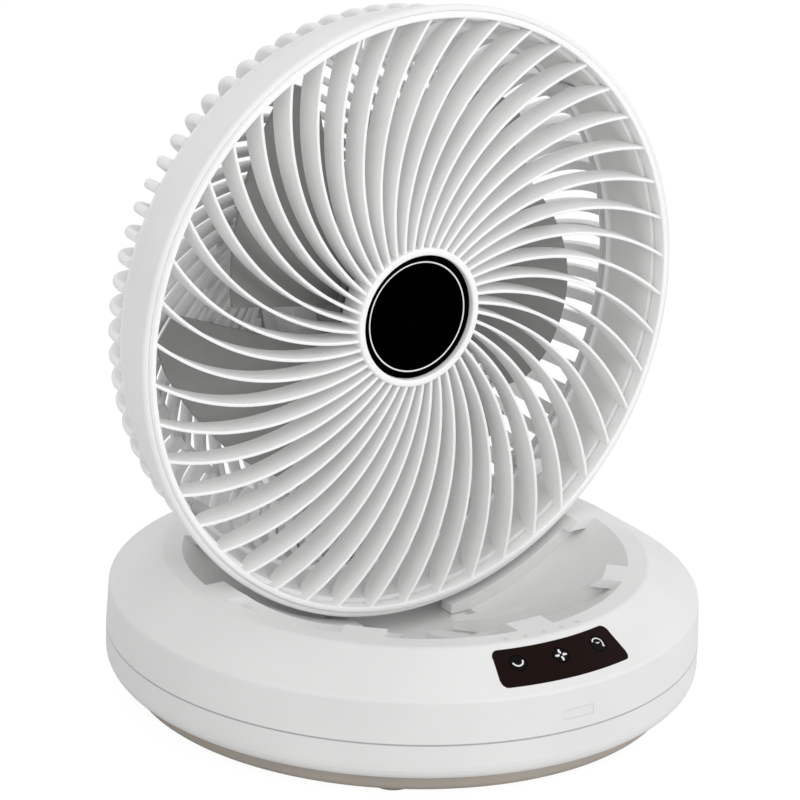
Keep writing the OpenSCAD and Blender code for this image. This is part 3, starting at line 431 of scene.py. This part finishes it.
def makeVane(vaneSpec):  # an upright strip with a rounded front edge, swept along an arc
    middle = (vaneSpec["front"] + vaneSpec["back"]) / 2
    centre = fanAxis + Vector((vaneSpec["arcCentre"], 0, 0)) * mm
    lean = math.radians(vaneSpec["arcFrom"])
    start = centre + Matrix.Rotation(lean, 3, "Y") @ Vector((-vaneSpec["arcRadius"], middle, 0)) * mm
    size = (vaneSpec["thickness"] * mm, (vaneSpec["back"] - vaneSpec["front"]) * mm)
    vane = newPlane("vane", start, size, (0, lean, 0))
    editVertices(vane, lambda place: place.y < middle * mm)
    bpy.ops.mesh.bevel(offset=vaneSpec["edge"] * mm, segments=3, affect="VERTICES")
    bpy.ops.object.mode_set(mode="OBJECT")
    spinPiece(vane, vaneSpec["arcSweep"], vaneSpec["steps"], centre)
    return vane


# Lengths in millimetres, angles in degrees; a round corner gives its radius and its segments
grille = {
    "vanes": 46, "turn": 59.7,
    "vane": {"thickness": 1.2, "front": -2.6, "back": 8.4, "edge": 0.34, "arcCentre": 95.1,
             "arcRadius": 97.1, "arcFrom": 14.9, "arcSweep": 57, "steps": 30},
    "reach": {"near": (12, -2.7), "far": (112, 8.4), "round": {"farBack": (11, 20)}, "steps": 240},
    "rim": {"near": (111.0, -3.6), "far": (113.0, 2), "steps": 240,
            "round": {"nearFront": (0.4, 3), "farFront": (0.6, 4), "nearBack": (0.3, 2)}},
    "lip": {"near": (112.6, -2.8), "far": (113.26, 1.8), "round": {"farFront": (0.25, 2)}, "steps": 240},
    "hub": {"near": (23.5, -3.4), "far": (26.2, 8.4), "steps": 160,
            "round": {"nearFront": (0.7, 4), "farFront": (0.8, 4), "farBack": (0.4, 2)}},
    "hubBack": {"near": (0.01, 6.0), "far": (26.0, 8.4), "round": {"farFront": (0.2, 1)}, "steps": 160},
}


def makeFrontGrille(spec):
    vane = makeVane(spec["vane"])
    reach = sectionRing("reach", spec["reach"])  # its rounded back edge lets the vanes fall off outwards
    applyBoolean(vane, reach, "INTERSECT")
    bpy.data.objects.remove(reach)
    vanes = ringOf(vane, spec["vanes"], spec["turn"])
    rings = [sectionRing(name, spec[name]) for name in ("rim", "lip", "hub", "hubBack")]
    return joinPieces("frontGrille", [*rings, *vanes], "grilleWhite")


frontGrille = makeFrontGrille(grille)
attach(frontGrille, "head")
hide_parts("front_grille")
print("front grille:", len(frontGrille.data.polygons), "faces")

badgeLine = {"near": (20.35, -1.44), "far": (20.9, -1.3), "steps": 160,
             "round": {"nearFront": (0.04, 2)}}
badgeRing = joinPieces("badgeRing", [sectionRing("line", badgeLine)], "printWhite")
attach(badgeRing, "head")

band = {
    "section": [(113.3, 2.2), (113.3, -2.4), (115.39, -2.4), (115.39, 0), (108.4, 24.9), (103.8, 24.9),
                (103.8, 22.9), (105.4, 22.9), (109.4, 2.2)],
    "round": {1: (0.35, 2), 2: (1.4, 5), 3: (0.5, 2), 4: (0.8, 4), 5: (0.3, 2), 7: (1.2, 3)},  # by point
    "steps": 240, "bossFrom": 13.9, "bossDepth": 10.6,
}
boss = {"count": 4, "radius": 3.4, "at": 103, "turn": 47.5, "bevel": 0.4, "vertices": 40}


def screwBosses(spec):  # short posts round the head's four screws
    depth = spec["bossDepth"]
    bpy.ops.object.select_all(action="DESELECT")
    bpy.ops.mesh.primitive_cylinder_add(
        vertices=boss["vertices"], radius=boss["radius"] * mm, depth=depth * mm,
        rotation=(math.radians(90), 0, 0),
        location=fanAxis + Vector((boss["at"], spec["bossFrom"] + depth / 2, 0)) * mm)
    post = bpy.context.object
    bpy.ops.object.transform_apply(location=True, rotation=True, scale=True)
    editVertices(post, lambda place: True)
    bpy.ops.mesh.bevel(offset=boss["bevel"] * mm, segments=2, affect="EDGES")
    leaveEdit()
    return ringOf(post, boss["count"], boss["turn"])


outerBand = joinPieces("outerBand", [tracedRing("band", band), *screwBosses(band)], "shellWhite")
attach(outerBand, "head")
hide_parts("outer_band")
print("outer band:", len(outerBand.data.polygons), "faces")

guard = {
    "ribs": 72,
    "rib": {"width": 4, "depth": 5.5, "round": 1.7, "arcAt": (87.8, 27.3), "arcRadius": 21.2,
            "steps": 14, "foot": 0.9, "run": 1.5},
    "spirals": 48, "turn": 3.4,
    "spiral": {"thickness": 2.6, "front": 43.4, "back": 48.4, "edge": 0.7, "arcCentre": 53,
               "arcRadius": 85.5, "arcFrom": -19, "arcSweep": -54.5, "steps": 26},
    "rings": {"ring": ((84.8, 45.4), (88.2, 48.5)), "flange": ((103.8, 25.1), (107.7, 27.3)),
              "plate": ((33.0, 46), (40.8, 48.5)), "midRing": ((58.5, 45.8), (60.5, 48.4))},
    "ringLook": {"round": {"farBack": (0.5, 2), "nearBack": (0.5, 2)}, "steps": 180},
    "bossFrom": 25.1, "bossDepth": 2.2,
}


def makeShoulderRib(ribSpec):  # a rounded section swept round the shoulder's quarter circle
    middle = ribSpec["arcRadius"] - ribSpec["depth"] / 2
    centre = fanAxis + Vector((*ribSpec["arcAt"], 0)) * mm
    rib = newPlane("rib", centre + Vector((middle, -ribSpec["foot"], 0)) * mm,
                   (ribSpec["depth"] * mm, ribSpec["width"] * mm), (math.radians(90), 0, 0))
    editVertices(rib, lambda place: place.x > centre.x + middle * mm)
    bpy.ops.mesh.bevel(offset=ribSpec["round"] * mm, segments=4, affect="VERTICES")
    bpy.ops.object.mode_set(mode="OBJECT")
    editVertices(rib, lambda place: True)
    bpy.ops.mesh.extrude_region_move(TRANSFORM_OT_translate={"value": (0, ribSpec["foot"] * mm, 0)})
    bpy.ops.mesh.spin(steps=ribSpec["steps"], angle=math.radians(-90), center=centre, axis=(0, 0, 1))
    bpy.ops.mesh.extrude_region_move(TRANSFORM_OT_translate={"value": (-ribSpec["run"] * mm, 0, 0)})
    leaveEdit()
    return rib


def makeRearGuard(spec):
    rings = [sectionRing(name, {"near": near, "far": far, **spec["ringLook"]})
             for name, (near, far) in spec["rings"].items()]
    ribs = ringOf(makeShoulderRib(spec["rib"]), spec["ribs"])
    spirals = ringOf(makeVane(spec["spiral"]), spec["spirals"], spec["turn"])
    return joinPieces("rearGuard", [*rings, *ribs, *spirals, *screwBosses(spec)], "guardWhite")


rearGuard = makeRearGuard(guard)
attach(rearGuard, "head")
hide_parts("rear_guard")
print("rear guard:", len(rearGuard.data.polygons), "faces")

keySlope = {"angle": 32.9299, "radius": 97.6, "height": 46.2777}  # the tops of the keys
iconDepth = {"rise": 0.05, "sink": 0.12}  # how far an icon stands out of its key and reaches into it
petal = {"vertices": 28, "pullFrom": 0.12, "pull": 0.3}
# An arc is radius, width, start and sweep; a petal is length, width, place, lean and turn
icons = {
    "swingIcon": {"key": "oscillate_button", "turn": -10.3, "lift": 0.8,
                  "arcs": [(2.0, 0.62, 193, 172)], "petals": []},
    "bladeIcon": {"key": "speed_button", "turn": 0, "lift": 0, "arcs": [],
                  "petals": [(1.95, 1.0, (1.45, 0.2), 24, turn) for turn in (-6, 84, 174, 264)]},
    "clockIcon": {"key": "timer_button", "turn": 10.3, "lift": 0.25,
                  "arcs": [(2.15, 0.5, 150, -205)],
                  "petals": [(0.95, 0.9, (1.58, -1.5), 30, 0), (1.3, 0.42, (0.35, 0.12), 24, 0),
                             (0.9, 0.42, (-0.35, 0.28), -40, 0)]},
}


def keyPlace(turn):  # the top of a key, +Z out of the slope and +Y up the slope
    return (Matrix.Rotation(math.radians(turn), 4, "Z")
            @ Matrix.Translation(Vector((0, -keySlope["radius"], keySlope["height"])) * mm)
            @ Matrix.Rotation(math.radians(keySlope["angle"]), 4, "X"))


def flatArc(radius, width, fromDegrees, sweep, steps=24):  # a flat raised arc, drawn round +Z
    thick = iconDepth["rise"] + iconDepth["sink"]
    level = (iconDepth["rise"] - iconDepth["sink"]) / 2
    start = math.radians(fromDegrees)
    middle = Matrix.Rotation(start, 3, "Z") @ Vector((radius, 0, level)) * mm
    piece = newPlane("arc", middle, (width * mm, thick * mm), (math.radians(90), 0, start))
    spinPiece(piece, sweep, steps, (0, 0, 0), (0, 0, 1))
    return piece


def flatPetal(length, width, place, lean, turn):  # a disc stretched, its outer end pulled sideways
    bpy.ops.object.select_all(action="DESELECT")
    bpy.ops.mesh.primitive_circle_add(
        vertices=petal["vertices"], radius=0.5, fill_type="NGON", location=(0, 0, 0))
    piece = bpy.context.object
    piece.scale = (length * mm, width * mm, 1)
    bpy.ops.object.transform_apply(scale=True)
    editVertices(piece, lambda corner: corner.x > length * petal["pullFrom"] * mm)
    bpy.ops.transform.translate(value=(0, -width * petal["pull"] * mm, 0))
    bpy.ops.mesh.select_all(action="SELECT")
    thick = iconDepth["rise"] + iconDepth["sink"]
    bpy.ops.mesh.extrude_region_move(TRANSFORM_OT_translate={"value": (0, 0, -thick * mm)})
    leaveEdit()
    piece.data.transform(Matrix.Rotation(math.radians(turn), 4, "Z")
                         @ Matrix.Translation(Vector((*place, iconDepth["rise"])) * mm)
                         @ Matrix.Rotation(math.radians(lean), 4, "Z"))
    return piece


for name, spec in icons.items():
    shapes = [flatArc(*arc) for arc in spec["arcs"]] + [flatPetal(*leaf) for leaf in spec["petals"]]
    icon = joinPieces(name, shapes, "printWhite")
    icon.data.transform(keyPlace(spec["turn"]) @ Matrix.Translation((0, spec["lift"] * mm, 0)))
    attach(icon, spec["key"])
print("icons made")


def paleRoom():  # the fan is lit at worldStrength, and white is what the camera, gloss and glass see
    tree = world.node_tree
    tree.nodes.clear()
    output, seen, light, path, either, both, mixed = [tree.nodes.new("ShaderNode" + kind) for kind in (
        "OutputWorld", "Background", "Background", "LightPath", "Math", "Math", "MixShader")]
    light.inputs["Strength"].default_value = worldStrength
    seen.inputs["Color"].default_value = light.inputs["Color"].default_value = (1, 1, 1, 1)
    either.operation = both.operation = "MAXIMUM"
    for start, end in (
            (path.outputs["Is Camera Ray"], either.inputs[0]),
            (path.outputs["Is Glossy Ray"], either.inputs[1]),
            (either.outputs[0], both.inputs[0]),
            (path.outputs["Is Transmission Ray"], both.inputs[1]),
            (both.outputs[0], mixed.inputs[0]), (light.outputs[0], mixed.inputs[1]),
            (seen.outputs[0], mixed.inputs[2]), (mixed.outputs[0], output.inputs[0])):
        tree.links.new(start, end)


paleRoom()

floorLook = {"size": 14, "darker": (0.8, 0.8, 0.8), "paler": (0.83, 0.83, 0.83),
             "glow": 1.06, "whiteShare": 0.9}


def addFloor(look):  # keeps the fan's shadow, and shows almost white to the camera
    bpy.ops.object.select_all(action="DESELECT")
    bpy.ops.mesh.primitive_plane_add(size=look["size"], location=(0, 0, 0))
    floor = bpy.context.object
    floor.name = "floor"
    finish = Finish("floorWhite", roughness=0.9, specularIorLevel=0.1)
    clouds = finish.noise(scale=3, detail=2)
    finish.set(baseColor=finish.mix(clouds, look["darker"], look["paler"]))
    path = finish.node("LightPath", out="Is Camera Ray")
    glow = finish.node("Emission", {}, {"Color": (1, 1, 1), "Strength": look["glow"]})
    shader = Wire(finish, finish.shader.outputs[0])
    mixed = finish.node("MixShader", {}, {0: path * look["whiteShare"], 1: shader, 2: glow})
    output = next(node for node in finish.tree.nodes if node.type == "OUTPUT_MATERIAL")
    finish.tree.links.new(mixed.socket, output.inputs["Surface"])
    floor.data.materials.append(finish.material)


addFloor(floorLook)
print("room made")
